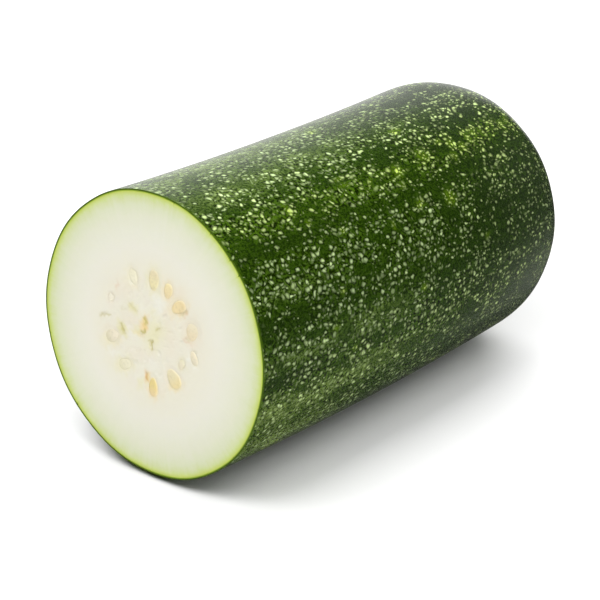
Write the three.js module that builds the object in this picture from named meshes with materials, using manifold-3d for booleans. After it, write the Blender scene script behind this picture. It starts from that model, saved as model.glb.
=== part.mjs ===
// A cut piece of winter melon lying on its belly: the stem end is sliced off square, the blossom
// end is whole, and twelve seeds lie bare in the cut face.
//
// Millimetres, +Z up. The fruit's length runs along +Y and the cut face looks towards -Y. The
// origin is on the resting surface, under the middle of the piece's bounding box.

import * as THREE from 'three';
import Module from 'manifold-3d';
import { mergeVertices } from 'three/addons/utils/BufferGeometryUtils.js';

const wasm = await Module();
wasm.setup();

// The fruit's body.
const CUT_RADIUS = 76.6; // radius of the cut face
const LENGTH = 290; // from the middle of the cut face to the blossom end
const SWELL = 0.4; // how much the radius grows behind the cut
const SHOULDER = 57; // length over which the blossom end rounds off
const SAG = 3.9; // how far the middle of the fruit's axis hangs below the axis's two ends
const CUT_LEAN = THREE.MathUtils.degToRad(3.35); // the cut face leans back from upright
const RIBS = 10; // shallow ribs that run lengthwise
const RIB_DEPTH = 0.3; // how deep the valleys between the ribs are

// The ground spot: the side on which the fruit lay while it grew, pressed flat.
const GROUND_SPOT_DEPTH = 1.2;

// The blossom scar, a shallow dimple in the whole end.
const SCAR_RADIUS = 7;
const SCAR_DEPTH = 1.5;
const SCAR_SIDES = 28;
const SCAR_RINGS = 20;

// Facets of the body.
const SIDES = 80;
const BODY_RINGS = 12;
const SHOULDER_RINGS = 12;

// The seeds: flat ovals, narrower at the end that points to the middle of the fruit.
const SEED_THICKNESS = 2.6;
const SEED_TAPER = 0.18; // share of the width lost at the narrow end and gained at the broad one
const SEED_PROUD = 0.5; // how far a seed stands out of the cut face
const POCKET_GAP = 0.4; // room between a seed and the flesh round it
const SEED_SIDES = 12;
const SEED_RINGS = 7;

// Points closer than this are one point.
const SAME_POINT = 1e-5;

// Each seed on the cut face, seen facing the cut: how far right of the middle and how far above
// it, length, width, and how far the broad end leans clockwise from upright, in degrees.
const SEEDS = [
  { right: 1.6, up: 30.3, length: 12.0, width: 7.4, lean: 3 },
  { right: 11.5, up: 27.2, length: 9.2, width: 6.2, lean: 12 },
  { right: 18.8, up: 20.4, length: 11.4, width: 7.0, lean: 58 },
  { right: 28.0, up: 9.6, length: 11.4, width: 9.0, lean: 10 },
  { right: 29.8, up: -3.8, length: 8.0, width: 5.0, lean: 160 },
  { right: 21.4, up: -9.6, length: 7.4, width: 4.2, lean: 15 },
  { right: 16.4, up: -18.8, length: 12.0, width: 9.4, lean: 140 },
  { right: 2.2, up: -27.6, length: 11.6, width: 6.8, lean: 178 },
  { right: -18.0, up: -20.6, length: 11.4, width: 6.8, lean: 245 },
  { right: -27.4, up: -7.4, length: 12.0, width: 7.6, lean: 240 },
  { right: -28.4, up: 13.2, length: 5.6, width: 4.2, lean: 20 },
  { right: -12.8, up: 28.6, length: 10.4, width: 6.6, lean: -20 },
];

const SKIN = { color: 0x3c5a24, roughness: 0.35, metalness: 0 };
const SEED_COAT = { color: 0xdcc896, roughness: 0.45, metalness: 0 };

// Turns a closed geometry into a solid that can be cut.
function toSolid(geometry) {
  const bare = geometry.clone();
  bare.deleteAttribute('normal');
  bare.deleteAttribute('uv');
  const merged = mergeVertices(bare, SAME_POINT);
  return new wasm.Manifold(new wasm.Mesh({
    numProp: 3,
    vertProperties: new Float32Array(merged.attributes.position.array),
    triVerts: new Uint32Array(merged.index.array),
  }));
}

// Turns a solid back into a geometry.
function toGeometry(solid) {
  const mesh = solid.getMesh();
  const geometry = new THREE.BufferGeometry();
  geometry.setAttribute('position', new THREE.BufferAttribute(mesh.vertProperties, 3));
  geometry.setIndex(new THREE.BufferAttribute(mesh.triVerts, 1));
  geometry.computeVertexNormals();
  return geometry;
}

// Height of the fruit's axis at y: a parabola, level with its ends and lowest in the middle.
function axisHeight(y) {
  const fromMiddle = 2 * y / LENGTH - 1;
  return SAG * (fromMiddle ** 2 - 1);
}

// One ring of points round the axis at y. The radius swells quickly behind the cut and then
// slowly, drops between the ribs, and rounds off to nothing over the shoulder. Rings near the
// cut lean back with it.
function ring(y) {
  const fromEnd = 1 - y / LENGTH;
  const intoShoulder = Math.max(0, (y - (LENGTH - SHOULDER)) / SHOULDER);
  const roundOff = Math.sqrt(Math.max(0, 1 - intoShoulder ** 3));
  const slant = Math.tan(CUT_LEAN) * fromEnd ** 3;
  const points = [];
  for (let side = 0; side < SIDES; side += 1) {
    const angle = 2 * Math.PI * side / SIDES;
    const valley = RIB_DEPTH * (1 - Math.cos(RIBS * angle)) / 2;
    const radius = (CUT_RADIUS + SWELL * (1 - fromEnd ** 4) - valley) * roundOff;
    const across = radius * Math.cos(angle);
    const above = radius * Math.sin(angle);
    points.push(across, y + slant * above, axisHeight(y) + above);
  }
  return points;
}

// Where the rings stand: evenly along the body, then closer together round the shoulder, so
// that their radii there fall off as a cosine.
function ringPlaces() {
  const places = [];
  for (let i = 0; i < BODY_RINGS; i += 1) {
    places.push((LENGTH - SHOULDER) * i / BODY_RINGS);
  }
  for (let i = 0; i < SHOULDER_RINGS; i += 1) {
    const turn = Math.PI / 2 * i / SHOULDER_RINGS;
    places.push(LENGTH - SHOULDER + SHOULDER * Math.sin(turn) ** (2 / 3));
  }
  return places;
}

// The uncut body: rings joined by quads, with a fan of triangles over the cut face and one over
// the blossom end.
function bodyGeometry() {
  const places = ringPlaces();
  const positions = places.flatMap(ring);
  const faces = [];
  for (let row = 0; row < places.length - 1; row += 1) {
    for (let side = 0; side < SIDES; side += 1) {
      const a = row * SIDES + side;
      const b = row * SIDES + (side + 1) % SIDES;
      faces.push(a, a + SIDES, b, b, a + SIDES, b + SIDES);
    }
  }
  const cutMiddle = positions.length / 3;
  positions.push(0, 0, axisHeight(0));
  const blossomEnd = cutMiddle + 1;
  positions.push(0, LENGTH, axisHeight(LENGTH));
  const lastRow = (places.length - 1) * SIDES;
  for (let side = 0; side < SIDES; side += 1) {
    const next = (side + 1) % SIDES;
    faces.push(cutMiddle, side, next);
    faces.push(blossomEnd, lastRow + next, lastRow + side);
  }
  const geometry = new THREE.BufferGeometry();
  geometry.setAttribute('position', new THREE.Float32BufferAttribute(positions, 3));
  geometry.setIndex(faces);
  return geometry;
}

// Lowest point of the uncut body, found on its mesh.
function lowestPoint(geometry) {
  geometry.computeBoundingBox();
  return geometry.boundingBox.min.z;
}

// The slab taken off underneath to make the ground spot, wider and longer than the fruit.
function belowGroundSpot(geometry) {
  const width = 3 * CUT_RADIUS;
  const thickness = 10 * GROUND_SPOT_DEPTH;
  const slab = new THREE.BoxGeometry(width, 2 * LENGTH, thickness);
  slab.translate(0, LENGTH / 2, lowestPoint(geometry) + GROUND_SPOT_DEPTH - thickness / 2);
  return slab;
}

// The ball that presses the dimple of the blossom scar into the end.
function scarBall() {
  const radius = (SCAR_RADIUS ** 2 + SCAR_DEPTH ** 2) / (2 * SCAR_DEPTH);
  const ball = new THREE.SphereGeometry(radius, SCAR_SIDES, SCAR_RINGS);
  ball.translate(0, LENGTH - SCAR_DEPTH + radius, axisHeight(LENGTH));
  return ball;
}

// A flat oval with its length along Z and its thickness along Y, broad end up.
function seedGeometry(length, width, thickness) {
  const geometry = new THREE.SphereGeometry(1, SEED_SIDES, SEED_RINGS);
  geometry.rotateX(Math.PI / 2);
  const points = geometry.attributes.position;
  for (let i = 0; i < points.count; i += 1) {
    const along = points.getZ(i);
    const spread = 1 + SEED_TAPER * along;
    points.setXYZ(
      i,
      points.getX(i) * spread * width / 2,
      points.getY(i) * thickness / 2,
      along * length / 2,
    );
  }
  geometry.deleteAttribute('normal');
  geometry.deleteAttribute('uv');
  const merged = mergeVertices(geometry, SAME_POINT);
  merged.computeVertexNormals();
  return merged;
}

// The seeds, placed in a group that lies in the leaning cut face.
function seedBed() {
  const bed = new THREE.Group();
  bed.rotation.x = -CUT_LEAN;
  SEEDS.forEach((seed, index) => {
    const mesh = new THREE.Mesh(
      seedGeometry(seed.length, seed.width, SEED_THICKNESS),
      new THREE.MeshStandardMaterial(SEED_COAT),
    );
    mesh.name = `seed_${String(index + 1).padStart(2, '0')}`;
    mesh.position.set(seed.right, SEED_THICKNESS / 2 - SEED_PROUD, seed.up);
    mesh.rotation.y = THREE.MathUtils.degToRad(seed.lean);
    bed.add(mesh);
  });
  bed.updateMatrixWorld(true);
  return bed;
}

// The fruit: the body with its ground spot, blossom scar and a pocket for every seed.
function melonMesh(bed) {
  const body = bodyGeometry();
  let melon = toSolid(body)
    .subtract(toSolid(belowGroundSpot(body)))
    .subtract(toSolid(scarBall()));
  bed.children.forEach((mesh, index) => {
    const { length, width } = SEEDS[index];
    const room = 2 * POCKET_GAP;
    const pocket = seedGeometry(length + room, width + room, SEED_THICKNESS + room);
    pocket.applyMatrix4(mesh.matrixWorld);
    melon = melon.subtract(toSolid(pocket));
  });
  const mesh = new THREE.Mesh(toGeometry(melon), new THREE.MeshStandardMaterial(SKIN));
  mesh.name = 'winter_melon';
  return mesh;
}

const seeds = seedBed();
const fruit = melonMesh(seeds);
const piece = new THREE.Group();
piece.add(fruit, seeds);

// Stand the piece on its ground spot, with the middle of its bounding box over the origin.
const box = new THREE.Box3().setFromObject(piece, true);
const middle = box.getCenter(new THREE.Vector3());
piece.position.set(-middle.x, -middle.y, -box.min.z);
piece.updateMatrixWorld(true);

export default piece;
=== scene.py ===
"""A cut piece of winter melon lying on its belly, with the seeds that the cut lays bare."""

import math

import bpy
import numpy as np
from mathutils import Matrix, Vector


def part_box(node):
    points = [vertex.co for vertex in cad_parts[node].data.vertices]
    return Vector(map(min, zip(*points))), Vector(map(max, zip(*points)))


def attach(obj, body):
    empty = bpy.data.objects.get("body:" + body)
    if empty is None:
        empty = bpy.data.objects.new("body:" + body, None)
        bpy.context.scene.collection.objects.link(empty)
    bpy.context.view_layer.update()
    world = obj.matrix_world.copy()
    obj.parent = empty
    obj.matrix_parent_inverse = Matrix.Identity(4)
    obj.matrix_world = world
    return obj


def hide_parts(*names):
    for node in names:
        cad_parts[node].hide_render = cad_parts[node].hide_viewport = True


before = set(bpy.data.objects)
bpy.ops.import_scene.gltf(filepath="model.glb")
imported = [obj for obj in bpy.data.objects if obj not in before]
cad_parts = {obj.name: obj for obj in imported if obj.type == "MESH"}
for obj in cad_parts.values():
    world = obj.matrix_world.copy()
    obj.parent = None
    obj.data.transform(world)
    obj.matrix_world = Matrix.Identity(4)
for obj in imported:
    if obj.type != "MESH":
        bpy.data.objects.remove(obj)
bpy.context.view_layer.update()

# ----------------------------------------------------------------------
# The fruit's body. It grew as one thing of white flesh in a waxy skin, on an axis that sags a
# little. A knife took the stem end off square, so skin and flesh end together at a crisp rim.
# The blossom end is whole, and carries the dimple where the flower dropped off.
MM = 0.001
CUT_RADIUS = 76.6 * MM
LENGTH = 289.9 * MM  # a tenth of a millimetre short, because finer rings reach nearer the true end
SWELL = 0.4 * MM
SHOULDER = 57 * MM
SAG = 3.9 * MM
CUT_LEAN = math.radians(3.35)
RIBS = 10
RIB_DEPTH = 0.3 * MM
LOBES = 3
LOBE_DEPTH = 0.6 * MM
LOBE_TURN = math.radians(75)
DENT_DEPTH = 0.4 * MM
DENT_TURNS = (2, 3, 3, 4, 5, 6, 7)  # how many dents each wave makes in one turn round the fruit
UNDENTED = 25 * MM  # the dents reach their full depth this far behind the rim
GROUND_SPOT_DEPTH = 1.2 * MM
SCAR_RADIUS = 7 * MM
SCAR_DEPTH = 1.5 * MM
RIM_STEPS = np.array([0, 0.15, 0.4, 0.8, 1.4]) * MM
SIDES = 360
BODY_ROWS = 118
SHOULDER_ROWS = 38


def dents(along, around):
    """Soft hollows that never stand proud: a sum of a few long waves round and along the fruit,
    each a product of two sines with whole numbers of turns round it, squeezed to 0..1."""
    chance = np.random.default_rng(11)
    total = np.zeros(np.broadcast(along, around).shape)
    for turns in DENT_TURNS:
        lengthwise = chance.uniform(1.0, 5.0)
        shift_round, shift_along = chance.uniform(0, 2 * math.pi, 2)
        wave = np.sin(turns * around + shift_round)
        total += wave * np.sin(lengthwise * math.pi * along / LENGTH + shift_along) / turns
    return 0.5 + 0.5 * np.tanh(1.5 * total)


def body(along, around):
    """Points of the skin, measured from the middle of the cut face. The radius swells behind the
    cut as 1 - (1 - y/L)^4, falls by a cosine between the ribs and by another between the three
    lobes that show at the cut, and rounds off over the shoulder as the root of 1 - s^3. The axis
    is a parabola that is lowest in the middle. Rings near the cut lean back with it, by
    (1 - y/L)^3. The scar is a round dimple of cosine section."""
    from_end = 1 - along / LENGTH
    into_shoulder = np.clip((along - (LENGTH - SHOULDER)) / SHOULDER, 0, 1)
    round_off = np.sqrt(1 - into_shoulder**3)
    valley = RIB_DEPTH * (1 - np.cos(RIBS * around)) / 2
    lobes = LOBE_DEPTH * (1 - np.cos(LOBES * (around - LOBE_TURN))) / 2 * from_end**2
    radius = CUT_RADIUS + SWELL * (1 - from_end**4) - valley - lobes
    behind_rim = np.clip(along / UNDENTED, 0, 1)
    radius = (radius - DENT_DEPTH * dents(along, around) * behind_rim) * round_off
    across = radius * np.cos(around)
    above = radius * np.sin(around)
    in_scar = np.clip(radius / SCAR_RADIUS, 0, 1)
    dimple = SCAR_DEPTH * (1 + np.cos(math.pi * in_scar)) / 2 * (along > LENGTH / 2)
    y = along + math.tan(CUT_LEAN) * from_end**3 * above - dimple
    z = SAG * ((2 * along / LENGTH - 1) ** 2 - 1) + above
    return across, y, z


angles = np.arange(SIDES) * 2 * math.pi / SIDES
body_steps = np.linspace(RIM_STEPS[-1], LENGTH - SHOULDER, BODY_ROWS + 1)[1:]
shoulder_turns = np.linspace(0, math.pi / 2, SHOULDER_ROWS + 1)[1:-1]
shoulder_steps = LENGTH - SHOULDER + SHOULDER * np.sin(shoulder_turns) ** (2 / 3)
skin_places = np.concatenate([RIM_STEPS, body_steps, shoulder_steps])
skin_x, skin_y, skin_z = body(skin_places[:, None], angles[None, :])

# The piece stands on its ground spot, and its cut face is where the frame's is.
reach_back = math.tan(CUT_LEAN) * (CUT_RADIUS - RIB_DEPTH)
plain_low = SAG + CUT_RADIUS + SWELL * (1 - 0.5**4) - RIB_DEPTH
face_middle = Vector((0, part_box("winter_melon")[0].y + reach_back, plain_low - GROUND_SPOT_DEPTH))
face_right = Vector((1, 0, 0))
face_up = Vector((0, math.sin(CUT_LEAN), math.cos(CUT_LEAN)))
face_out = Vector((0, -math.cos(CUT_LEAN), math.sin(CUT_LEAN)))

# ----------------------------------------------------------------------
# The seeds. Twelve flat ovals, tough-coated and pale tan, that grew in the soft pulp round the
# middle of the fruit. The knife opened the pulp over them, and each lies in a bed that holds it.
SEED_THICKNESS = 2.6 * MM
SEED_TAPER = 0.18
SEED_PROUD = 0.5 * MM
SUNK_SEEDS = (4, 6, 9, 10, 11, 12)  # these hardly show above the pulp
SUNK_PROUD = 0.2 * MM
SEED_FLATNESS = 0.8  # power of the section's sine: 1 is an ellipse, and less is flatter
SEED_BLUNTNESS = 0.7  # power of the sine that thins the seed towards its ends
MARGIN_HEIGHT, MARGIN_AT, MARGIN_WIDTH = 0.10, 0.80, 0.12
DISH_DEPTH, DISH_WIDTH = 0.10, 0.45
FULLEST = 1.02  # what margin and dish together add to the thickness
SEED_SIDES = 48
SEED_ROWS = 40


def chart(columns, *rows):
    """Rows of values, each under the name of its column."""
    return [dict(zip(columns.split(), row)) for row in rows]


# In millimetres from the middle of the face, as seen from the front. lean is how many degrees
# clockwise from upright the broad end points; narrow and broad are the coat's paints there.
SEEDS = chart(
    "right up length width lean narrow broad",
    (1.6, 30.3, 12, 7.4, 3, (229, 219, 172), (217, 205, 169)),
    (11.5, 27.2, 9.2, 6.2, 12, (229, 211, 165), (227, 212, 165)),
    (18.8, 20.4, 11.4, 7, 58, (233, 214, 165), (222, 203, 157)),
    (28, 9.6, 11.4, 9, 10, (227, 213, 179), (226, 217, 188)),
    (29.8, -3.8, 8, 5, 160, (227, 217, 189), (225, 217, 191)),
    (21.4, -9.6, 7.4, 4.2, 15, (228, 220, 193), (224, 219, 189)),
    (16.4, -18.8, 12, 9.4, 140, (224, 214, 177), (231, 214, 161)),
    (2.2, -27.6, 11.6, 6.8, 178, (222, 203, 137), (232, 210, 161)),
    (-18, -20.6, 11.4, 6.8, 245, (229, 224, 196), (223, 218, 185)),
    (-27.4, -7.4, 12, 7.6, 240, (229, 220, 196), (216, 209, 177)),
    (-28.4, 13.2, 5.6, 4.2, 20, (232, 226, 204), (223, 218, 198)),
    (-12.8, 28.6, 10.4, 6.6, -20, (233, 228, 201), (227, 222, 194)),
)


def paint(red, green, blue):
    """A colour given as 0 to 255 on a screen, turned into light: (s + 0.055) / 1.055 to the 2.4,
    or s / 12.92 where it is nearly black."""
    screen = [value / 255 for value in (red, green, blue)]
    light = [s / 12.92 if s < 0.04045 else ((s + 0.055) / 1.055) ** 2.4 for s in screen]
    return (*light, 1.0)


class Recipe:
    """The node tree of a material or of the world. Each method adds a node and gives back what
    comes out of it."""

    def __init__(self, owner):
        owner.use_nodes = True
        self.owner = owner
        self.tree = owner.node_tree
        self.shader = self.tree.nodes.get("Principled BSDF")

    def add(self, kind, inputs=(), **settings):
        """A node of a kind, with its settings, and its inputs linked or set by name."""
        made = self.tree.nodes.new(kind)
        for setting, value in settings.items():
            setattr(made, setting, value)
        for name, value in dict(inputs).items():
            self.feed(made.inputs[name], value)
        return made

    def feed(self, socket, value):
        """Links what another node gives to a socket, or sets the socket's own value."""
        if isinstance(value, bpy.types.NodeSocket):
            self.tree.links.new(value, socket)
        else:
            socket.default_value = value

    def worked(self, kind, operation, values):
        """A node that does arithmetic on values, given in order."""
        made = self.add(kind, operation=operation)
        for socket, value in zip(made.inputs, values):
            self.feed(socket, value)
        return made

    def number(self, operation, *values):
        """Arithmetic on one to three numbers."""
        return self.worked("ShaderNodeMath", operation, values).outputs[0]

    def plus(self, first, second):
        """first + second"""
        return self.number("ADD", first, second)

    def minus(self, first, second):
        """first - second"""
        return self.number("SUBTRACT", first, second)

    def times(self, first, second):
        """first x second"""
        return self.number("MULTIPLY", first, second)

    def larger(self, first, second):
        """The larger of two numbers."""
        return self.number("MAXIMUM", first, second)

    def line(self, value, slope, start):
        """slope x value + start"""
        return self.number("MULTIPLY_ADD", value, slope, start)

    def vector(self, operation, *values):
        """Arithmetic on vectors."""
        return self.worked("ShaderNodeVectorMath", operation, values).outputs["Vector"]

    def stretched(self, vector, scale):
        """A vector made longer by a scale."""
        made = self.worked("ShaderNodeVectorMath", "SCALE", (vector,))
        made.inputs["Scale"].default_value = scale
        return made.outputs["Vector"]

    def place(self):
        """Where a point is in the object's own coordinates, in millimetres."""
        return self.stretched(self.add("ShaderNodeTexCoord").outputs["Object"], 1 / MM)

    def parts(self, place):
        """A vector's parts, under the names X, Y and Z."""
        return self.add("ShaderNodeSeparateXYZ", {"Vector": place}).outputs

    def mark(self, name):
        """A number that the mesh carries at each of its points."""
        return self.add("ShaderNodeAttribute", attribute_name=name).outputs["Fac"]

    def clouds(self, place, size, detail=2.0, roughness=0.5):
        """Cloudy noise with blotches of about this size in millimetres: Fac, from 0 to 1, and
        Color, three such numbers at once."""
        feeds = {"Vector": place, "Scale": 1 / size, "Detail": detail, "Roughness": roughness}
        return self.add("ShaderNodeTexNoise", feeds).outputs

    def noise(self, *settings):
        """Cloudy noise from 0 to 1."""
        return self.clouds(*settings)["Fac"]

    def step(self, value, start, end):
        """0 up to start, 1 from end, and a soft rise between them. Start may be above end."""
        feeds = {"Value": value, "From Min": start, "From Max": end}
        made = self.add("ShaderNodeMapRange", feeds, interpolation_type="SMOOTHSTEP")
        return made.outputs["Result"]

    def blend(self, share, first, second):
        """Two colours mixed by a share."""
        made = self.add("ShaderNodeMix", data_type="RGBA")
        self.feed(made.inputs[0], share)
        self.feed(made.inputs[6], first)
        self.feed(made.inputs[7], second)
        return made.outputs[2]

    def ramp(self, value, stops):
        """A run of paints, each at its place from 0 to 1."""
        made = self.add("ShaderNodeValToRGB", {"Fac": value})
        marks = made.color_ramp.elements
        while len(marks) < len(stops):
            marks.new(0.5)
        for mark, (position, *colour) in zip(marks, stops):
            mark.position = position
            mark.color = paint(*colour)
        return made.outputs["Color"]

    def finish(self, colour, roughness, height, depth, ior):
        """Sets the shader: its colour, its roughness, bump from a height of 0 to 1 that stands
        this many millimetres proud, and how strongly the surface shines."""
        bump = {"Height": height, "Distance": depth * MM, "Strength": 1.0}
        self.feed(self.shader.inputs["Base Color"], colour)
        self.feed(self.shader.inputs["Roughness"], roughness)
        self.feed(self.shader.inputs["Normal"], self.add("ShaderNodeBump", bump).outputs["Normal"])
        self.shader.inputs["IOR"].default_value = ior


def seed_shape(length, width, thickness):
    """A flat oval, narrower at one end. Along it, places follow a cosine; its width is the sine,
    spread towards the broad end. Its section is a flattened round, with a raised margin."""
    turn = np.linspace(0, math.pi, SEED_ROWS + 1)[1:-1, None]
    around = np.arange(SEED_SIDES)[None, :] * 2 * math.pi / SEED_SIDES
    along = -np.cos(turn) * np.ones_like(around)
    spread = 1 + SEED_TAPER * along
    across = np.sin(turn) * np.cos(around) * spread * width / 2
    flat = np.sign(np.sin(around)) * np.abs(np.sin(around)) ** SEED_FLATNESS
    from_margin = (np.abs(np.cos(around)) - MARGIN_AT) / MARGIN_WIDTH
    margin = 1 + MARGIN_HEIGHT * np.exp(-(from_margin**2))
    dish = 1 - DISH_DEPTH * np.exp(-((np.cos(around) / DISH_WIDTH) ** 2))
    out = np.sin(turn) ** SEED_BLUNTNESS * flat * margin * dish * thickness / 2 / FULLEST
    return across, along * length / 2, out, along


def quads(first, second, sides):
    """Faces between pairs of rings of points, given by the number of each ring's first point."""
    here = np.arange(sides)
    after = (here + 1) % sides
    first, second = np.reshape(first, (-1, 1)), np.reshape(second, (-1, 1))
    corners = [first + here, second + here, second + after, first + after]
    return np.stack(corners, axis=-1).reshape(-1, 4).tolist()


def fan(tip, ring, sides, turned=False):
    """Triangles from a tip to every side of a ring of points. Turned ones face the other way."""
    here = ring + np.arange(sides)
    after = ring + (np.arange(sides) + 1) % sides
    sides_of = [after, here] if turned else [here, after]
    return np.stack([np.full(sides, tip), *sides_of], axis=-1).tolist()


def on_face(right, up, out):
    """Rows of points given by how far right, up and out of the cut face they are."""
    axes = np.array([face_right, face_up, face_out])
    return np.array(face_middle) + np.stack([right, up, out], axis=-1) @ axes


def put_mark(mesh, name, values):
    """Gives each of a mesh's points a number that its materials can read."""
    marks = mesh.attributes.new(name, "FLOAT", "POINT").data
    marks.foreach_set("value", values.astype(np.float32))


def seed_coat(name, narrow, broad):
    """The coat of one seed: tan from its narrow end to its broad one, a little darker in clouds,
    paler at its edge with painted light that offsets the shade where the flesh meets it, and finely
    pitted."""
    coat = Recipe(bpy.data.materials.new(name))
    place = coat.place()
    darker = [0.86 * value for value in broad]
    clouded = coat.times(coat.step(coat.noise(place, 1.6, 3), 0.45, 0.75), 0.3)
    # Painted light: a paler edge that offsets the shade in the groove round the seed.
    painted_edge_light = coat.times(coat.step(coat.mark("edge"), 0.7, 0.97), 0.45)
    colour = coat.blend(coat.step(coat.mark("along"), -0.4, 0.8), paint(*narrow), paint(*broad))
    colour = coat.blend(clouded, colour, paint(*darker))
    colour = coat.blend(painted_edge_light, colour, paint(238, 231, 204))
    pits = coat.noise(place, 0.5, 2)
    coat.finish(colour, coat.line(pits, 0.25, 0.22), pits, depth=0.08, ior=1.45)
    return coat.owner


def turned_to(shape, right, up):
    """Where points of the face lie from a shape's middle, across it and along its lean, both in
    halves of its own width and length."""
    lean = math.radians(shape["lean"])
    over, rise = right - shape["right"] * MM, up - shape["up"] * MM
    across = over * math.cos(lean) - rise * math.sin(lean)
    along = over * math.sin(lean) + rise * math.cos(lean)
    return across / (shape["width"] * MM / 2), along / (shape["length"] * MM / 2)


def from_seed(seed, right, up):
    """How far out from a seed's middle points of the face lie: 1 is on the seed's outline."""
    across, along = turned_to(seed, right, up)
    return np.hypot(along, across / (1 + SEED_TAPER * np.clip(along, -1, 1)))


def make_seed(index, seed):
    """One seed in its bed, broad end up before it leans. It stands half a millimetre proud of the
    cut, or less if it is one of those that lie deeper."""
    length, width = seed["length"] * MM, seed["width"] * MM
    across, along, out, share = seed_shape(length, width, SEED_THICKNESS)
    ends = np.array([[0, -length / 2, 0], [0, length / 2, 0]])
    shape = np.concatenate([np.stack([across, along, out], axis=-1).reshape(-1, 3), ends])
    lean = math.radians(seed["lean"])
    right = seed["right"] * MM + shape[:, 0] * math.cos(lean) + shape[:, 1] * math.sin(lean)
    up = seed["up"] * MM - shape[:, 0] * math.sin(lean) + shape[:, 1] * math.cos(lean)
    proud = SUNK_PROUD if index in SUNK_SEEDS else SEED_PROUD
    placed = on_face(right, up, shape[:, 2] - (SEED_THICKNESS / 2 - proud))
    rings = np.arange(share.shape[0]) * SEED_SIDES
    faces = quads(rings[:-1], rings[1:], SEED_SIDES)
    faces += fan(share.size, 0, SEED_SIDES) + fan(share.size + 1, rings[-1], SEED_SIDES, True)
    mesh = bpy.data.meshes.new(f"seed_{index:02d}_coat")
    mesh.from_pydata(placed.tolist(), [], faces)
    mesh.shade_smooth()
    put_mark(mesh, "along", np.concatenate([share.ravel(), [-1, 1]]))
    put_mark(mesh, "edge", from_seed(seed, right, up))
    mesh.materials.append(seed_coat(f"seed_coat_{index:02d}", seed["narrow"], seed["broad"]))
    piece = bpy.data.objects.new(f"seed_{index:02d}_coat", mesh)
    bpy.context.collection.objects.link(piece)
    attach(piece, "root")
    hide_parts(f"seed_{index:02d}")


for number, seed in enumerate(SEEDS, start=1):
    make_seed(number, seed)

# ----------------------------------------------------------------------
# The cut face. Firm white flesh with soft pulp in the middle, opened by one pass of a knife. The
# pulp is stained tan, rose and straw where it fed the seeds, and narrow green slits show where
# the chambers of the fruit meet.
BED_DEPTH = 0.2 * MM
BED_MOUTH = 0.8  # the bed falls away below the seed inside this share of the seed's outline
BED_FLOOR = SEED_THICKNESS / 2 + 0.9 * MM
BED_LAP = 0.95
BED_LIP = 0.6
BED_SMOOTHING = 0.3  # share of the pulp's lumps that is left in a bed
PULP_RADIUS = 34 * MM
LUMPS = chart("height size seed", (0.10, 6, 5), (0.04, 2.4, 6))
KNIFE_RIDGE = 0.015 * MM
KNIFE_STEP = 7.5 * MM
KNIFE_HEADING = (0.35, -0.94)
KNIFE_SWING = 20 * MM
SLIT_SINK = 0.6
SLIT_SPREAD = 1.3
SEED_HALO = 0.12
FLAT_RIM = 3 * MM  # the relief reaches its full height this far in from the skin
RIM_DEPTHS = (0.15, 0.4, 0.7, 1, 1.4, 2, 2.8, 3.8, 5.2, 7, 9.4, 12.6, 16.6, 20.6, 25, 30)
PULP_FROM = 0.56  # share of the radius at which the evenly spaced rings of the pulp begin
PULP_ROWS = 75

# Each slit's two ends are given right of the middle of the face and above it, in millimetres.
SLITS = chart(
    "start end width depth green",
    ((-4.1, 8.1), (-3.4, 6.5), 1.9, 0.3, 0.92),
    ((-6.2, 0.3), (-3.8, 1.4), 1.2, 0.3, 0.9),
    ((-1.2, -3.1), (0.9, -2.8), 1.1, 0.3, 0.66),
    ((0.9, -2.8), (0.8, -6.4), 1.5, 0.4, 0.92),
    ((4, 4.8), (6.8, 6.2), 1.2, 0.2, 0.62),
    ((-21, 1), (-20.4, -0.8), 1.6, 0.3, 0.58),
    ((-20.4, -0.8), (-18.8, -2.4), 1.9, 0.3, 0.66),
    ((-15, 12.9), (-10.8, 11.2), 1.9, 0.2, 0.32),
    ((-20.4, 9.4), (-18.2, 10), 2, 0.2, 0.2),
    ((-35.4, 1.6), (-33, 3), 1.6, 0.3, 0.56),
    ((-33, 3), (-29.4, 3.6), 1.1, 0.2, 0.56),
    ((-2.4, -21.8), (-2.2, -25), 1.8, 0.5, 0.2),
    ((24.4, 5.2), (28.6, 5.8), 1.2, 0.3, 0.3),
    ((28.2, -0.9), (31.6, 0.4), 0.9, 0.3, 0.25),
    ((28, -2.9), (31.4, -2.8), 0.8, 0.3, 0.3),
    ((31.4, -2.8), (30.2, -6.6), 0.8, 0.3, 0.3),
    ((21.2, 17.2), (24.4, 20.6), 1.2, 0.2, 0.4),
)
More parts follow.
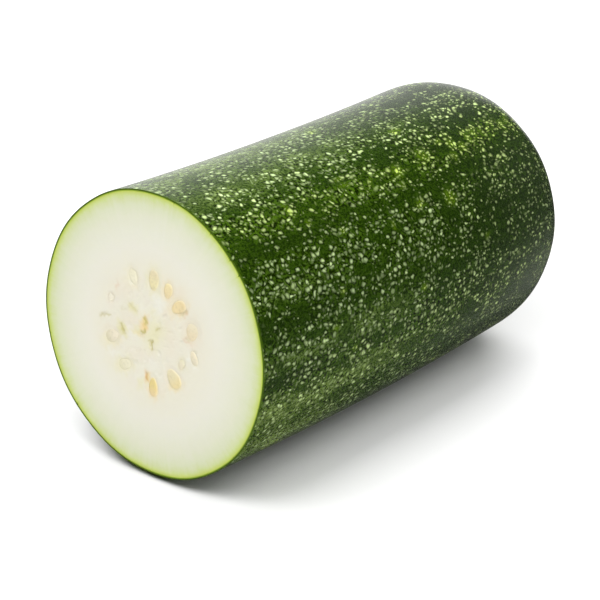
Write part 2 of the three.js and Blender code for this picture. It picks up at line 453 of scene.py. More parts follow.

# Stains are ovals, placed as the seeds are. The milk ones are partly painted glints.
STAINS = chart(
    "kind right up length width lean strength",
    ("amber", -4.6, 4.6, 11, 4.6, 12, 1),
    ("amber", -1.6, -23.8, 7, 4.8, 0, 1),
    ("amber", 2, -29, 10, 8, 0, 0.7),
    ("amber", 18.2, 20.2, 14, 9, 58, 0.7),
    ("amber", 11.4, 27, 12, 8.4, 12, 0.55),
    ("amber", 17.6, -22, 10, 6, 65, 0.5),
    ("amber", -7, 0, 10, 3, 85, 0.3),
    ("rose", 27.8, 8.6, 17, 13, 8, 0.75),
    ("rose", 16, -17.6, 16, 13, 140, 0.5),
    ("rose", -27, -6.6, 16, 12, 240, 0.65),
    ("rose", -24, 20.5, 8, 4, 10, 0.75),
    ("rose", -28.4, 13.2, 7.6, 6, 20, 0.5),
    ("rose", -18, 22, 22, 12, 60, 0.4),
    ("rose", 9.4, 14.6, 5, 3.4, 20, 0.45),
    ("rose", 9.6, -28, 9, 4.6, 10, 0.4),
    ("rose", -13, 5, 18, 10, 85, 0.4),
    ("rose", 14, 2, 26, 12, 0, 0.35),
    ("rose", -6, -12, 22, 9, 80, 0.35),
    ("rose", 19, 28, 13, 8, 60, 0.4),
    ("straw", 2.6, 1.6, 19, 13, 30, 0.65),
    ("straw", 1.6, 11.6, 8, 5, 0, 0.4),
    ("straw", -20, -0.8, 9, 6, 150, 0.9),
    ("straw", -9, 0.6, 8, 4, 85, 0.7),
    ("straw", -12.6, 12, 9, 5.6, 105, 0.7),
    ("straw", 1.6, 30.2, 15, 9.4, 3, 0.7),
    ("straw", -18.6, -20.8, 15, 9, 65, 0.65),
    ("straw", -27.6, -9, 13, 8, 60, 0.6),
    ("straw", -13, 28.4, 11, 9, -20, 0.4),
    ("straw", 18, -22.6, 8, 4, 70, 0.8),
    ("straw", -6.4, -28, 7, 4, 20, 0.5),
    ("straw", 21.4, -9.6, 9, 6, 15, 0.45),
    ("rust", -2.3, -23.2, 4.6, 2.4, 0, 0.75),
    ("rust", 25.4, 4.6, 5, 2.2, 100, 0.3),
    ("rust", 23.2, 18.9, 6, 2.6, 45, 0.4),
    ("rust", -24.2, 21.5, 4, 2, 10, 0.15),
    # Whiter marks, partly milky pulp and partly painted glints where wet pulp and seeds catch the
    # light.
    ("milk", 5.2, 18.4, 11, 8, 5, 0.8),
    ("milk", -12.6, 27.2, 4.6, 2.2, 70, 1),
    ("milk", -13.4, 25.4, 4.6, 1.6, 75, 0.9),
    ("milk", 26.4, -5.2, 5, 2.4, 60, 1),
    ("milk", -27.6, -4.2, 5.4, 1.8, 80, 0.7),
    ("milk", 26.6, -1, 9, 2.4, 10, 0.4),
    ("milk", 2, -14.5, 13, 9, 90, 0.5),
    ("milk", -26, -16.6, 12, 3, 85, 0.6),
    ("milk", 31, -8.8, 4, 2, 70, 0.7),
)


def from_slit(slit, right, up):
    """How far points lie from a slit's middle line, in halves of its width."""
    start, end = np.array(slit["start"]) * MM, np.array(slit["end"]) * MM
    run = end - start
    share = np.clip(((right - start[0]) * run[0] + (up - start[1]) * run[1]) / (run @ run), 0, 1)
    gap = np.hypot(right - start[0] - share * run[0], up - start[1] - share * run[1])
    return gap / (slit["width"] * MM / 2)


def bed(seed, right, up):
    """The dent that a seed lies in. The flesh laps a little over the seed's edge, so that no gap
    shows; inside the lap it falls away below the seed, and outside it rises to the face."""
    out = from_seed(seed, right, up)
    under = np.sqrt(np.clip(1 - (out / BED_MOUTH) ** 2, 0, 1))
    lip = np.clip((out - BED_LAP) / BED_LIP, 0, 1)
    rise = lip**2 * (3 - 2 * lip)
    return -BED_DEPTH * (1 - rise) - BED_FLOOR * under


def ruffled(right, up, size, seed, pieces=12):
    """Soft random waves over the face, about -1 to 1: a sum of plane waves whose lengths lie
    round size, each with its own heading and shift."""
    chance = np.random.default_rng(seed)
    total = np.zeros_like(right)
    for _ in range(pieces):
        heading, shift = chance.uniform(0, 2 * math.pi, 2)
        wave = 2 * math.pi / (chance.uniform(0.6, 1.7) * size)
        total += np.sin(wave * (right * math.cos(heading) + up * math.sin(heading)) + shift)
    return total / math.sqrt(pieces)


def wandered(right, up, reach, size, seed):
    """Places on the face pushed about by soft waves of this reach and size, so that the edge of
    what is drawn there wanders."""
    pushed_right = right + reach * MM * ruffled(right, up, size * MM, seed)
    return pushed_right, up + reach * MM * ruffled(right, up, size * MM, seed + 1)


def flesh_relief(right, up):
    """How far the flesh stands out of the flat cut: lumps in the pulp, which end as
    exp(-(r / pulp)^6), faint ridges across the whole face from the knife, each slit as exp(-d^2),
    and the beds of the seeds."""
    pulp = np.exp(-((np.hypot(right, up) / PULP_RADIUS) ** 6))
    height = np.zeros_like(right)
    for lump in LUMPS:
        height += lump["height"] * ruffled(right, up, lump["size"] * MM, lump["seed"])
    height *= MM * pulp
    across = right * KNIFE_HEADING[0] + up * KNIFE_HEADING[1]
    stroke = 2 * math.pi / KNIFE_STEP
    height += KNIFE_RIDGE * np.sin(stroke * across + 2 * np.sin(right / KNIFE_SWING))
    for slit in SLITS:
        height -= SLIT_SINK * slit["depth"] * MM * np.exp(-from_slit(slit, right, up) ** 2)
    for seed in SEEDS:
        height = np.minimum(height, height * BED_SMOOTHING + bed(seed, right, up))
    return height


def stained(kind, right, up):
    """How deeply the flesh is stained by one kind of stain: each is an oval that fades out as
    exp(-d^2.5), and the strongest counts."""
    pushed = wandered(right, up, reach=0.9, size=5, seed=21)
    amount = np.zeros_like(right)
    for stain in STAINS:
        if stain["kind"] == kind:
            out = np.hypot(*turned_to(stain, *pushed))
            amount = np.maximum(amount, stain["strength"] * np.exp(-(out**2.5)))
    return amount


def green_of(right, up):
    """How green the slits make the flesh: 1 in the middle of a slit, fading out past its edge as
    exp(-d^1.6)."""
    pushed = wandered(right, up, reach=0.45, size=2.5, seed=23)
    gaps = [from_slit(slit, *pushed) / SLIT_SPREAD for slit in SLITS]
    return np.maximum.reduce([
        slit["green"] * np.exp(-(gap**1.6)) for slit, gap in zip(SLITS, gaps)
    ])


def beside_seeds(right, up):
    """How close points of the face are to a seed's outline: 1 on it, falling off to both sides as
    exp(-d^2) over about an eighth of its half breadth."""
    gaps = [(from_seed(seed, right, up) - 1.0) / SEED_HALO for seed in SEEDS]
    return np.maximum.reduce([np.exp(-(gap**2)) for gap in gaps])


# The face is made of rings that shrink from the rim to the middle. They are close together under
# the skin, where the colour changes quickly, and again in the pulp, where a slit is a millimetre
# wide.
rim_shares = 1 - np.array(RIM_DEPTHS) * MM / CUT_RADIUS
pulp_shares = np.linspace(PULP_FROM, 0, PULP_ROWS + 1)[:-1]
face_shares = np.concatenate([rim_shares, pulp_shares])[:, None]
cut_right = face_shares * skin_x[0][None, :]
cut_up = face_shares * (skin_z[0] / math.cos(CUT_LEAN))[None, :]
under_skin = (1 - face_shares) * CUT_RADIUS * np.ones((1, SIDES))
relief = flesh_relief(cut_right, cut_up) * np.clip(under_skin / FLAT_RIM, 0, 1)
face_points = on_face(cut_right, cut_up, relief).reshape(-1, 3)
middle = np.zeros(1)
face_centre = on_face(middle, middle, flesh_relief(middle, middle))

# Skin and face are one mesh and meet along the rim. Nothing of it reaches below the ground spot.
skin_points = np.stack([skin_x, skin_y, skin_z], axis=-1) + np.array(face_middle)
blossom_tip = np.array([[0, LENGTH - SCAR_DEPTH, 0]]) + np.array(face_middle)
points = np.concatenate([skin_points.reshape(-1, 3), blossom_tip, face_points, face_centre])
points[:, 2] = np.maximum(points[:, 2], 0)

skin_count = len(skin_places) * SIDES
skin_rings = np.arange(len(skin_places)) * SIDES
face_rings = np.concatenate([[0], skin_count + 1 + np.arange(len(face_shares)) * SIDES])
skin_faces = quads(skin_rings[:-1], skin_rings[1:], SIDES)
skin_faces += fan(skin_count, skin_rings[-1], SIDES, True)
flesh_faces = quads(face_rings[1:], face_rings[:-1], SIDES)
flesh_faces += fan(len(points) - 1, face_rings[-1], SIDES)

melon_mesh = bpy.data.meshes.new("melon")
melon_mesh.from_pydata(points.tolist(), [], skin_faces + flesh_faces)
melon_mesh.shade_smooth()
wears_flesh = np.repeat([0, 1], [len(skin_faces), len(flesh_faces)])
melon_mesh.polygons.foreach_set("material_index", wears_flesh)


def mark_flesh(name, on_cut, at_centre):
    """A mark that is 0 all over the skin and has its own value at each point of the cut face."""
    values = np.concatenate([np.zeros(skin_count + 1), on_cut.ravel(), np.ravel(at_centre)])
    put_mark(melon_mesh, name, values)


mark_flesh("under_skin", under_skin / MM, CUT_RADIUS / MM)
mark_flesh("by_seed", beside_seeds(cut_right, cut_up), 0)
mark_flesh("in_slit", green_of(cut_right, cut_up), green_of(middle, middle))
for kind in ("amber", "rose", "straw", "rust", "milk"):
    mark_flesh(kind, stained(kind, cut_right, cut_up), stained(kind, middle, middle))

melon = bpy.data.objects.new("melon", melon_mesh)
bpy.context.collection.objects.link(melon)
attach(melon, "root")
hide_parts("winter_melon")

GREENED = 40.0  # how deep the flesh is tinged with green, in millimetres
# Its paints, each at a share of that depth, from the skin inwards.
FLESH_PAINTS = [
    (0.000, 62, 84, 8),
    (0.015, 68, 94, 12),
    (0.024, 138, 165, 40),
    (0.035, 189, 203, 91),
    (0.055, 195, 207, 122),
    (0.085, 201, 212, 147),
    (0.120, 206, 213, 165),
    (0.200, 212, 217, 185),
    (0.350, 219, 220, 198),
    (0.550, 223, 223, 206),
    (0.750, 226, 224, 210),
    (1.000, 226, 223, 206),
]
# What tints the flesh, how much of it shows, and its paint.
FLESH_STAINS = [
    ("rose", 0.85, (225, 213, 190)),
    ("straw", 0.85, (222, 217, 167)),
    ("amber", 0.9, (231, 206, 146)),
    ("rust", 1.0, (206, 161, 114)),
    ("milk", 0.55, (231, 231, 221)),
    ("by_seed", 0.4, (229, 221, 195)),
    ("in_slit", 0.75, (175, 164, 69)),
]


def melon_flesh():
    """Flesh: white in the middle, greener towards the skin and lime under it. Faint rays from the
    centre and patches push the greening in and out, and short ticks push it in just under the
    skin. Over it lie warmer clouds in the pulp, and the stains."""
    flesh = Recipe(bpy.data.materials.new("melon_flesh"))
    place = flesh.place()
    deep = flesh.mark("under_skin")
    centre = tuple(value / MM for value in face_middle)
    heading = flesh.vector("NORMALIZE", flesh.vector("SUBTRACT", place, centre))
    rays = flesh.noise(flesh.stretched(heading, 30.0), 1.0, 3, 0.6)
    spokes = flesh.noise(flesh.stretched(heading, 75.0), 2.2, 2, 0.6)
    sway = flesh.minus(flesh.plus(rays, flesh.noise(place, 5.0, 3, 0.6)), 1.0)
    sway = flesh.times(flesh.times(sway, 4.5), flesh.step(deep, 0.9, 6.0))
    ticks = flesh.times(flesh.step(spokes, 0.62, 0.76), flesh.step(deep, 5.0, 1.2))
    sway = flesh.minus(sway, flesh.times(ticks, flesh.times(deep, 0.5)))
    colour = flesh.ramp(flesh.number("DIVIDE", flesh.plus(deep, sway), GREENED), FLESH_PAINTS)
    clouded = flesh.times(flesh.step(flesh.noise(place, 7, 3), 0.45, 0.7), flesh.step(deep, 34, 48))
    colour = flesh.blend(flesh.times(clouded, 0.4), colour, paint(226, 219, 203))
    for name, shown, stain in FLESH_STAINS:
        colour = flesh.blend(flesh.times(flesh.mark(name), shown), colour, paint(*stain))
    grain = flesh.noise(place, 0.9, 3, 0.6)
    flesh.finish(colour, flesh.line(grain, 0.3, 0.3), grain, depth=0.05, ior=1.36)
    flesh.shader.inputs["Subsurface Weight"].default_value = 0.3
    flesh.shader.inputs["Subsurface Radius"].default_value = (1.0, 1.0, 0.7)
    flesh.shader.inputs["Subsurface Scale"].default_value = 2 * MM
    return flesh.owner


# ----------------------------------------------------------------------
# The skin. Grown thin, tough and waxy, deep green and mottled, with thousands of cream-green
# flecks, darker bands that run lengthwise, lime-green blotches, and a grey bloom over the end that
# is partly wax and partly a painted sheen.

# All of it is placed by how many millimetres along from the cut it lies, and by its turn, in
# degrees up from the right-hand side, with the top at 90 and the belly at -90.
DARK_BANDS = chart(
    "turn half_width strength",
    (44.2, 4.2, 1),
    (15, 7, 0.5),
    (-28, 4.5, 0.75),
    (-4, 2.4, 0.3),
    (66, 3, 0.15),
    (82, 2, 0.25),
    (112, 4, 0.7),
    (147, 6, 0.8),
    (181, 4, 0.9),
    (216, 5, 0.7),
    (252, 6, 0.6),
    (300, 4, 0.7),
)
BLOTCHES = chart(
    "along turn length height lean",
    (57, 56.5, 3.4, 10, 0),
    (63, 48.7, 4.5, 4, 0),
    (104, 61.5, 12, 2, 0),
    (104, 58, 10, 2.6, 0),
    (122, 55, 2.4, 9, 50),
    (146, 55, 7, 9, 30),
    (142, 48, 4, 3, 0),
    (171, 57.5, 9, 8, 40),
    (170, 36, 9, 9, 0),
    (146, 39, 8, 5, -30),
    (119, 35, 2.4, 5, 0),
    (192, 51, 5, 6, 0),
    (172, 73, 10, 6, 0),
    (82, 41, 4, 4, 0),
    (66, 19.5, 4, 3, 0),
    (56, 7, 5, 3, 0),
    (130, 7, 5, 4, 0),
    (71, -4.6, 5, 3, 0),
    (190, 60, 5, 4, 0),
    (197, 57, 6, 6, 0),
    (204, 53.5, 5, 5, 0),
    (212, 56, 3.2, 9, -10),
    (218.5, 57, 3.4, 9, -25),
    (225, 55.5, 3, 7, -20),
    (236, 55, 3.4, 9, -30),
    (242.5, 56.5, 3.2, 8, -30),
    (250, 56, 4, 5, -30),
    (190, 15, 4, 4, 0),
)
HIDDEN_BLOTCHES = 46
# Ovals where the skin is greyed: partly wax bloom, partly a painted sheen, the floor's reflection
# on the shoulder of the blossom end.
WAX_AND_SHEEN_OVALS = chart(
    "along turn length spread strength",
    (258, 80, 62, 15, 0.55),
    (262, 33, 60, 28, 0.18),
    (265, -16, 55, 17, 1),
    (180, -24, 60, 9, 0.3),
)
# Areas that are paler than the rest, and deeper ones below 0. The paler ones along the top and on
# the underside are painted light, for light falling from above left and bounced up from the floor;
# the rest is the skin's own patchy tone.
TONE_AND_LIGHT_AREAS = chart(
    "along turn length spread strength",
    (15, 75, 60, 8, 0.75),
    (105, 80, 45, 6, 0.65),
    (20, 91, 45, 6, 0.35),
    (105, 97, 45, 6, 0.2),
    (95, 5, 35, 5, 0.5),
    (190, 72, 60, 11, 0.25),
    (165, 61, 38, 5, -0.7),
    (55, 55.5, 70, 6, -0.25),
    (60, 101, 100, 9, 0.85),
    (8, -19, 60, 6, 1),
    (95, -15, 38, 5.5, 0.62),
    (20, -36, 60, 8, 1),
    (25, 2, 35, 3, 0.4),
    (30, 27, 30, 3.5, 0.3),
    (20, 17, 60, 4.5, -0.75),
    (10, -4.5, 35, 2.5, -0.9),
    (120, 47, 80, 5, -0.3),
    (30, 44, 50, 3.5, -0.7),
    (250, 24, 110, 16, -0.75),
    (260, 65, 80, 8, -0.25),
    (260, -22, 100, 30, -0.6),
    (262, 88, 45, 20, -0.5),
    (120, 160, 90, 25, 0.5),
    (60, 205, 60, 15, -0.4),
)
SUNNY_ROW, SUNNY_ROW_SPREAD = 55.5, 8
STRIPES, STRIPE_TURN, STRIPE_SHARE = 5, math.radians(56), 0.45
# Painted light: the flecks are lighter round this turn, where most light falls on the skin.
PAINTED_LIGHT_TURN, PAINTED_LIGHT_SPREAD = 66, 18
FADES_FROM, FADES_OVER = 266, 18  # areas, wax and painted sheen fade out here, over the blossom end


def all_blotches():
    """The blotches, and as many again as lie on the far sides, strewn at random from 95 degrees
    round to 325."""
    chance = np.random.default_rng(31)
    strewn = []
    for _ in range(HIDDEN_BLOTCHES):
        along, turn = chance.uniform(10, 270), chance.uniform(95, 325)
        length, height = chance.uniform(3, 10), chance.uniform(3, 9)
        strewn.append((along, turn, length, height, chance.uniform(-60, 60)))
    return BLOTCHES + chart("along turn length height lean", *strewn)


def round_gap(around, turn):
    """Degrees between points and a place round the fruit, taken the short way, -180 to 180."""
    return (np.degrees(around) - turn + 180) % 360 - 180


def band_at(along, around):
    """How far points are inside a dark band: exp(-(gap / half width)^2) of the angle from its
    middle, which wanders a degree or two along the fruit on two slow sines."""
    amount = np.zeros(np.broadcast(along, around).shape)
    for index, band in enumerate(DARK_BANDS):
        wander = 1.4 * np.sin(along / (34 * MM) + 2.1 * index)
        wander = wander + 0.7 * np.sin(along / (11 * MM) + index)
        gap = (round_gap(around, band["turn"]) - wander) / band["half_width"]
        swell = 0.8 + 0.2 * np.sin(along / (19 * MM) + 1.3 * index)
        amount = np.maximum(amount, band["strength"] * swell * np.exp(-(gap**2)))
    return amount


def blotch_at(along, around):
    """How far points are inside a blotch: exp(-d^4) of the distance from its middle in halves of
    its length and height, turned by its lean."""
    amount = np.zeros(np.broadcast(along, around).shape)
    for blotch in all_blotches():
        lean = math.radians(blotch["lean"])
        over = along / MM - blotch["along"]
        rise = np.radians(round_gap(around, blotch["turn"])) * CUT_RADIUS / MM
        across = (over * math.cos(lean) - rise * math.sin(lean)) / (blotch["length"] / 2)
        higher = (over * math.sin(lean) + rise * math.cos(lean)) / (blotch["height"] / 2)
        amount = np.maximum(amount, np.exp(-np.hypot(across, higher) ** 4))
    return amount


def lushness_at(along, around):
    """Where mottle and flecks are yellower: a row as wide as exp(-(gap / 8 degrees)^2) on the
    side that faced the sun, and fainter soft stripes of (0.5 + 0.5 cos)^2 all round."""
    row = np.exp(-((round_gap(around, SUNNY_ROW) / SUNNY_ROW_SPREAD) ** 2))
    stripe = (0.5 + 0.5 * np.cos(STRIPES * (around - STRIPE_TURN))) ** 2
    return np.maximum(row, STRIPE_SHARE * stripe) * np.ones(np.broadcast(along, around).shape)


def painted_light_at(along, around):
    """Painted light on the flecks, how much lighter they are: exp(-(gap / 18 degrees)^2) of the
    angle from the line where most light falls."""
    gap = round_gap(around, PAINTED_LIGHT_TURN) / PAINTED_LIGHT_SPREAD
    return np.exp(-(gap**2)) * np.ones(np.broadcast(along, around).shape)


def broad(ovals, along, around):
    """A sum of broad soft ovals, each exp(-(distance along / length)^2 - (degrees round /
    spread)^2) times its strength, kept between -1 and 1. It fades out over the blossom end."""
    amount = np.zeros(np.broadcast(along, around).shape)
    for oval in ovals:
        lengthwise = (along / MM - oval["along"]) / oval["length"]
        sideways = round_gap(around, oval["turn"]) / oval["spread"]
        amount += oval["strength"] * np.exp(-(lengthwise**2) - sideways**2)
    over_end = np.clip((along / MM - FADES_FROM) / FADES_OVER, 0, 1)
    return np.clip(amount, -1, 1) * (1 - over_end**2 * (3 - 2 * over_end))


def beside_cut(along, around):
    """How close the skin is to the cut: exp(-(distance / 0.6 mm)^2)."""
    return np.exp(-((along / (0.6 * MM)) ** 2)) + 0 * around


def mark_skin(name, on_skin):
    """A mark that has its own value at each point of the skin and is 0 on the cut face."""
    cut_points = len(points) - skin_count - 1
    values = np.concatenate([on_skin.ravel(), [on_skin[-1].mean()], np.zeros(cut_points)])
    put_mark(melon_mesh, name, values)


everywhere = skin_places[:, None], angles[None, :]
mark_skin("band", band_at(*everywhere))
mark_skin("blotch", blotch_at(*everywhere))
mark_skin("lush", lushness_at(*everywhere))
mark_skin("painted_light", painted_light_at(*everywhere))
mark_skin("pale", broad(TONE_AND_LIGHT_AREAS, *everywhere))
mark_skin("wax_and_sheen", broad(WAX_AND_SHEEN_OVALS, *everywhere))
mark_skin("by_cut", beside_cut(*everywhere))

# The running lengths that the flecks are laid out in.
SIDE_RADIUS = 77.0
BELLY_TURN = 2.7  # radians from the top
SHOULDER_RADIUS = 71.0  # nearer the axis than this, the skin has begun to turn in
END_RADIUS = 55.0
WHOLE_END = 60.0  # the blossom end lies beyond this
APART_BELLY, APART_END = 700.0, 1500.0  # keep the three layouts from sharing flecks
FLECK_STRETCH = (0.88, 1.1, 1.0)
LARGE_FLECKS = dict(spacing=4.0, least=0.30, most=0.48)
SMALL_FLECKS = dict(spacing=2.9, least=0.27, most=0.42)

# The skin's paints.
GROUND = paint(16, 29, 0)
QUIET_GROUND = paint(27, 47, 4)
FAR_GROUND = paint(16, 31, 2)
PALE_GROUND = paint(46, 68, 12)
MOTTLE = paint(62, 90, 20)
LUSH_MOTTLE = paint(74, 107, 15)
PALE_MOTTLE = paint(116, 138, 68)
BLOTCH = paint(112, 150, 20)
MOAT = paint(8, 16, 0)
FLECK = paint(208, 232, 168)
YELLOW_FLECK = paint(202, 228, 104)
SHADE = paint(18, 32, 6)
WAX_AND_SHEEN = paint(186, 190, 180)
CUT_EDGE = paint(70, 96, 6)


def unrolled(skin, place):
    """Two running lengths over the skin, in millimetres, so that patterns lie flat on it: along
    the fruit, and on over the shoulder by how far the skin has turned in; and round it from the
    top. Near the belly the second is measured from the belly instead, and on the blossom end both
    are measured straight across. Noise frays the joins."""
    parts = skin.parts(place)
    across, along = parts["X"], parts["Y"]
    height = skin.minus(parts["Z"], SIDE_RADIUS)
    from_top = skin.number("ARCTAN2", across, height)
    from_belly = skin.number("ARCTAN2", across, skin.times(height, -1.0))
    from_axis = skin.plus(skin.number("POWER", across, 2.0), skin.number("POWER", height, 2.0))
    from_axis = skin.number("SQRT", from_axis)
    turned_in = skin.larger(skin.minus(SHOULDER_RADIUS, from_axis), 0.0)

    def flat(first, second):
        return skin.add("ShaderNodeCombineXYZ", {"X": first, "Y": second}).outputs[0]

    side = flat(skin.plus(along, turned_in), skin.times(from_top, SIDE_RADIUS))
    belly = flat(skin.plus(along, APART_BELLY), skin.times(from_belly, SIDE_RADIUS))
    end = flat(skin.plus(across, APART_END), height)
    fray = skin.line(skin.noise(place, 4, 2), 0.3, -0.15)
    turned = skin.plus(skin.number("ABSOLUTE", from_top), fray)
    low = skin.number("GREATER_THAN", turned, BELLY_TURN)
    inner = skin.number("LESS_THAN", skin.line(fray, 40.0, from_axis), END_RADIUS)
    inner = skin.times(inner, skin.number("GREATER_THAN", along, WHOLE_END))
    return skin.blend(inner, skin.blend(low, side, belly), end)


def shaken(skin, place, flat):
    """The running lengths pushed about by two sizes of noise, so that no fleck is quite round."""
    for size, reach in ((7, 5.0), (1.5, 0.7)):
        push = skin.vector("SUBTRACT", skin.clouds(place, size, 2)["Color"], (0.5, 0.5, 0.5))
        flat = skin.vector("ADD", flat, skin.stretched(push, reach))
    return flat


def flecks(skin, flat, scale, spacing, least, most):
    """Soft round spots, one to a cell of a flat cell pattern. Each has its own radius between
    least and most, in widths of a cell, times the scale, and fades from its middle to that
    radius. Gives the spots, the moats round them, and each cell's three chance numbers."""
    spread = skin.vector("MULTIPLY", flat, FLECK_STRETCH)
    pattern = {"Vector": spread, "Scale": 1 / spacing, "Randomness": 0.82}
    cells = skin.add("ShaderNodeTexVoronoi", pattern, voronoi_dimensions="2D").outputs
    chance = skin.add("ShaderNodeSeparateColor", {"Color": cells["Color"]}).outputs
    radius = skin.times(skin.line(chance["Red"], most - least, least), scale)
    gap = cells["Distance"]
    spot = skin.step(gap, radius, skin.times(radius, 0.08))
    moat = skin.step(gap, skin.plus(radius, 0.2), skin.times(radius, 0.65))
    return spot, moat, chance


def melon_skin():
    """Skin: dark green with a fine paler mottle, under two sizes of flecks and a few blotches.
    Flecks are rarer and fainter where it is quiet, which is in the dark bands and in chance bare
    patches. Towards the whole end the flecks are finer, yellower and more gathered in clumps."""
    skin = Recipe(bpy.data.materials.new("melon_skin"))
    place = skin.place()
    flat = shaken(skin, place, unrolled(skin, place))
    lush, blotch = skin.mark("lush"), skin.mark("blotch")
    # Painted light in part: the paler areas on the top and the underside stand for light from above
    # left and from the floor.
    pale = skin.larger(skin.mark("pale"), 0.0)
    deep = skin.larger(skin.times(skin.mark("pale"), -1.0), 0.0)
    far = skin.step(skin.parts(place)["Y"], -40.0, 80.0)
    clumps = skin.step(skin.noise(place, 5, 2), 0.36, 0.62)

    # Quiet: 1 inside a dark band or a bare patch.
    patches = skin.noise(skin.vector("MULTIPLY", place, (1, 0.6, 1)), 10, 2, 0.5)
    bare_below = skin.line(deep, 0.09, 0.48)
    bare = skin.step(patches, bare_below, skin.minus(bare_below, 0.08))
    quiet = skin.larger(skin.times(skin.mark("band"), 0.95), skin.times(bare, 0.9))
    lively = skin.minus(1.0, quiet)

    # The ground and its mottle, which is short worm-like streaks of noise.
    fine = skin.noise(skin.vector("MULTIPLY", flat, FLECK_STRETCH), 1.5, 2, 0.5)
    worm = skin.step(fine, skin.line(pale, -0.05, 0.39), 0.62)
    worm = skin.times(worm, skin.line(lively, 0.55, 0.45))
    worm = skin.times(worm, skin.line(pale, 0.25, 0.8))
    worm = skin.times(worm, skin.line(skin.times(far, skin.minus(clumps, 0.5)), 0.7, 1.0))
    worm = skin.times(worm, skin.line(far, -0.35, 1.0))
    base = skin.blend(quiet, GROUND, QUIET_GROUND)
    base = skin.blend(skin.times(far, 0.6), base, FAR_GROUND)
    base = skin.blend(skin.times(pale, 0.5), base, PALE_GROUND)
    mottle = skin.blend(pale, skin.blend(lush, MOTTLE, LUSH_MOTTLE), PALE_MOTTLE)
    base = skin.blend(worm, base, mottle)

    # Two sizes of flecks. How light each fleck is comes by chance, and in quiet places all but
    # the lightest are left out. Blotches are fields of flecks that are all light.
    scale = skin.minus(skin.line(deep, -0.15, 1.0), skin.times(far, 0.08))
    large, large_moat, large_chance = flecks(skin, flat, scale, **LARGE_FLECKS)
    small, small_moat, small_chance = flecks(skin, flat, scale, **SMALL_FLECKS)
    blotch = skin.times(blotch, skin.step(skin.noise(flat, 1.6, 2), 0.3, 0.5))
    rare = skin.times(quiet, 0.85)
    commoner = skin.plus(rare, 0.12)
    large_light = skin.line(skin.number("POWER", large_chance["Green"], 1.4), 0.88, 0.1)
    large_light = skin.times(large_light, skin.step(large_chance["Green"], rare, commoner))
    large_light = skin.larger(large_light, skin.times(blotch, 0.95))
    small_light = skin.number("POWER", small_chance["Green"], skin.line(far, -1.2, 2.0))
    small_light = skin.times(small_light, skin.line(far, 0.15, 0.58))
    small_light = skin.times(small_light, skin.step(small_chance["Green"], rare, commoner))
    small_light = skin.larger(small_light, skin.times(blotch, 0.85))
    moat = skin.larger(skin.times(large_moat, large_light), skin.times(small_moat, small_light))
    light = skin.larger(skin.times(large, large_light), skin.times(small, small_light))
    light = skin.times(light, skin.line(lively, 0.4, 0.6))
    # Painted light: flecks lighter round the side where most light falls.
    light = skin.times(light, skin.line(skin.mark("painted_light"), 0.32, 0.76))
    light = skin.times(light, skin.line(pale, 0.15, 1.0))
    gathered = skin.times(clumps, skin.line(far, 0.5, 0.5))
    light = skin.times(light, skin.plus(gathered, skin.line(far, -0.2, 0.77)))
    yellow = skin.line(lush, 0.45, skin.times(large_chance["Blue"], 0.2))
    yellow = skin.larger(skin.plus(yellow, skin.times(far, 0.2)), blotch)

    colour = skin.blend(skin.times(blotch, 0.45), base, BLOTCH)
    colour = skin.blend(skin.times(moat, skin.line(pale, -0.12, 0.9)), colour, MOAT)
    colour = skin.blend(light, colour, skin.blend(yellow, FLECK, YELLOW_FLECK))
    colour = skin.blend(skin.times(deep, 0.45), colour, SHADE)
    # Partly wax bloom and partly painted sheen: greyer over the blossom end.
    colour = skin.blend(skin.times(skin.mark("wax_and_sheen"), 0.14), colour, WAX_AND_SHEEN)
    colour = skin.blend(skin.times(skin.mark("by_cut"), 0.6), colour, CUT_EDGE)
    pores = skin.noise(place, 0.7, 2)
    height = skin.plus(skin.times(light, 0.5), skin.times(pores, 0.5))
    skin.finish(colour, skin.line(pores, 0.14, 0.2), height, depth=0.08, ior=1.16)
    return skin.owner


melon_mesh.materials.append(melon_skin())
melon_mesh.materials.append(melon_flesh())

# ----------------------------------------------------------------------
# The floor. A round white table, matt and very slightly uneven in its white, wide enough that its
# edge is never in view.
TABLE_RADIUS = 1.0
TABLE_SIDES = 96
edge_turns = np.arange(TABLE_SIDES) * 2 * math.pi / TABLE_SIDES
table_edge = np.stack([np.cos(edge_turns), np.sin(edge_turns), 0 * edge_turns], axis=-1)
floor_mesh = bpy.data.meshes.new("floor")
floor_mesh.from_pydata((TABLE_RADIUS * table_edge).tolist(), [], [tuple(range(TABLE_SIDES))])
top = Recipe(bpy.data.materials.new("white_table"))
whites = (0.90, 0.90, 0.90, 1), (0.94, 0.94, 0.94, 1)
top.feed(top.shader.inputs["Base Color"], top.blend(top.noise(top.place(), 400, 2), *whites))
top.shader.inputs["Roughness"].default_value = 0.9
top.shader.inputs["Specular IOR Level"].default_value = 0.1
floor_mesh.materials.append(top.owner)
floor = bpy.data.objects.new("floor", floor_mesh)
bpy.context.collection.objects.link(floor)
floor.visible_glossy = False

# ----------------------------------------------------------------------
# The camera. A long lens a metre from the cut face, which looks down at it from the front and
# right of it.
CAMERA_ROUND = math.radians(39.88)
CAMERA_UP = math.radians(23.17)
CAMERA_AWAY = 1012.8 * MM
AIM_RIGHT = 75.7 * MM
AIM_UP = 18.3 * MM
LENS = 120
SENSOR_WIDTH = 36
camera_right = Vector((math.cos(CAMERA_ROUND), math.sin(CAMERA_ROUND), 0))
camera_back = Vector((
    math.sin(CAMERA_ROUND) * math.cos(CAMERA_UP),
    -math.cos(CAMERA_ROUND) * math.cos(CAMERA_UP),
    math.sin(CAMERA_UP),
))
camera_top = camera_back.cross(camera_right)
eye = bpy.data.cameras.new("camera")
eye.lens = LENS
eye.sensor_width = SENSOR_WIDTH
camera = bpy.data.objects.new("camera", eye)
bpy.context.collection.objects.link(camera)
turned = Matrix((camera_right, camera_top, camera_back)).transposed().to_4x4()
spot = face_middle + AIM_RIGHT * camera_right + AIM_UP * camera_top + CAMERA_AWAY * camera_back
camera.matrix_world = Matrix.Translation(spot) @ turned
bpy.context.scene.camera = camera

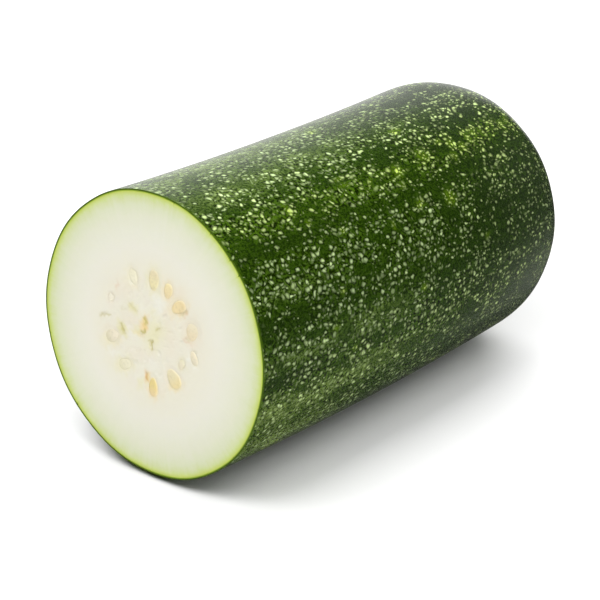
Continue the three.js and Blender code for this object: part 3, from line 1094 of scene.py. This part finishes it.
# ----------------------------------------------------------------------
# The light. Five soft boxes round the fruit light it and the floor, and nothing reflects them. A
# wide lit backdrop behind its left lights nothing, and shows only as a sheen on the skin.
LIT = Vector((0, 0, 0.08))
BOX_AWAY = 1.6
SOFT_BOXES = chart(
    "name heading rise width height power",  # heading in degrees from +X, rise from the floor
    ("behind_left", 120, 44, 1.8, 0.8, 25.4),
    ("front_left", 260, 56, 0.9, 0.9, 14.8),
    ("front_right", 320, 56, 1.8, 0.8, 17.2),
    ("low_right", 340, 32, 0.9, 0.9, 7.7),
    ("low_behind", 100, 20, 0.9, 0.9, 4.2),
)
BACKDROP_AT = Vector((-1.7, 1.8, 0.5))
BACKDROP_LOOKS_AT = Vector((0, 0, 0.5))
BACKDROP = dict(width=2.6, height=2.0, power=24)


def soft_box(name, place, target, width, height, power):
    """A soft box of light: a rectangle at a place that faces a target."""
    light = bpy.data.lights.new(name, "AREA")
    light.shape = "RECTANGLE"
    light.size = width
    light.size_y = height
    light.energy = power
    lamp = bpy.data.objects.new(name, light)
    bpy.context.collection.objects.link(lamp)
    lamp.location = place
    lamp.rotation_euler = (target - place).to_track_quat("-Z", "Y").to_euler()
    return lamp


for box in SOFT_BOXES:
    heading, rise = math.radians(box["heading"]), math.radians(box["rise"])
    level = math.cos(rise)
    toward_box = Vector((level * math.cos(heading), level * math.sin(heading), math.sin(rise)))
    place = LIT + BOX_AWAY * toward_box
    lamp = soft_box(box["name"], place, LIT, box["width"], box["height"], box["power"])
    lamp.visible_glossy = False
backdrop = soft_box("backdrop", LIT + BACKDROP_AT, LIT + BACKDROP_LOOKS_AT, **BACKDROP)
backdrop.visible_diffuse = False

# The room is white to look at and lights nothing. Where the skin reflects it, it is dim: brighter
# below the horizon, in place of the table, and more so towards the right.
room = bpy.data.worlds.new("room")
sky = Recipe(room)
looking = sky.parts(sky.add("ShaderNodeTexCoord").outputs["Generated"])


def faded(part, start, end, low, high):
    """One part of the direction, turned from the range start to end into the range low to high."""
    feeds = {"Value": part, "From Min": start, "From Max": end, "To Min": low, "To Max": high}
    return sky.add("ShaderNodeMapRange", feeds).outputs["Result"]


below = faded(looking["Z"], 0.0, -0.35, 0.0, 0.6)
rightward = faded(looking["X"], 0.0, 0.55, 0.15, 1.0)
dim = sky.add("ShaderNodeBackground", {"Strength": sky.line(below, rightward, 0.03)})
ray = sky.add("ShaderNodeLightPath").outputs
white = sky.tree.nodes["Background"]
white.inputs["Color"].default_value = (1, 1, 1, 1)
sky.feed(white.inputs["Strength"], ray["Is Camera Ray"])
either = sky.add("ShaderNodeMixShader")
for socket, value in zip(either.inputs, (ray["Is Glossy Ray"], white.outputs[0], dim.outputs[0])):
    sky.feed(socket, value)
sky.feed(sky.tree.nodes["World Output"].inputs["Surface"], either.outputs[0])
bpy.context.scene.world = room
bpy.context.scene.view_settings.view_transform = "Standard"

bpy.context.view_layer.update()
